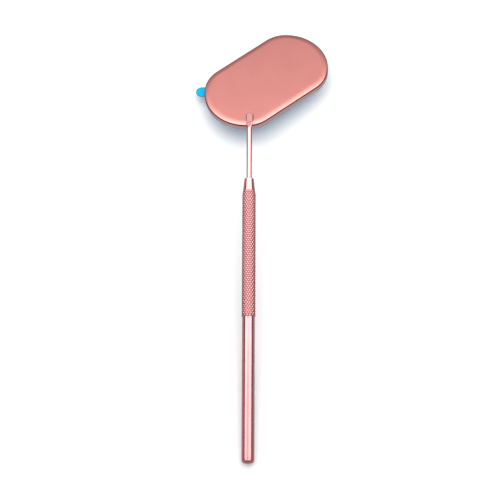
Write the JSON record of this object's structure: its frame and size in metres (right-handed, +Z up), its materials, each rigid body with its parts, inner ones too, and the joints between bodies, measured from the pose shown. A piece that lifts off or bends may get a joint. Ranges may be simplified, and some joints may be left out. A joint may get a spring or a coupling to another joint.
{
  "type": "mouth mirror",
  "caption": "Large oval mirror in a pressed rose-gold dish on a thin bent stem that screws into a slim knurled handle, with a blue pull-off film over the glass.",
  "frame": {"origin": "centre of the bottom of the bounding box, on the table that the mirror lies face down on", "axes": "+Z up from the table, +Y along the handle towards the head, +X to the right as seen from the tail"},
  "size_m": [0.0688, 0.2296, 0.0183],
  "materials": {
    "satin_metal": "satin rose-gold plate",
    "polished_metal": "polished rose-gold plate",
    "knurled_metal": "polished rose-gold plate, diamond knurl on the grip",
    "thread_metal": "cut thread, rose-gold plate",
    "weld_metal": "fused weld metal",
    "clear_glass": "clear float glass, ground edge",
    "silver": "silver coat behind the glass",
    "backing_paint": "grey protective paint",
    "adhesive_foam": "white double-sided foam",
    "blue_film": "thin translucent blue film"
  },
  "bodies": {
    "handle": {"nose_cone": "polished_metal", "handle_tube": "knurled_metal", "end_plug": "polished_metal"},
    "stud": {"threaded_stud": "thread_metal"},
    "head": {"stem": "polished_metal", "weld_nugget": "weld_metal", "back_shell": "satin_metal", "adhesive_pad": "adhesive_foam", "backing_paint": "backing_paint", "silver_coat": "silver", "mirror_glass": "clear_glass", "protective_film": "blue_film"}
  },
  "joints": [
    {"name": "thread_travel", "type": "slide", "parent": "handle", "child": "stud", "axis": [0, 0.9967, 0.081], "range_m": [0, 0.00495]},
    {"name": "head_unscrew", "type": "hinge", "parent": "stud", "child": "head", "pos_m": [-0.00627, 0.02788, 0.01452], "axis": [0, 0.9967, 0.081], "range_deg": [0, 3960]}
  ],
  "couplings": [
    {"joint": "thread_travel", "follows": "head_unscrew", "m_per_rad": 0.00007162}
  ]
}
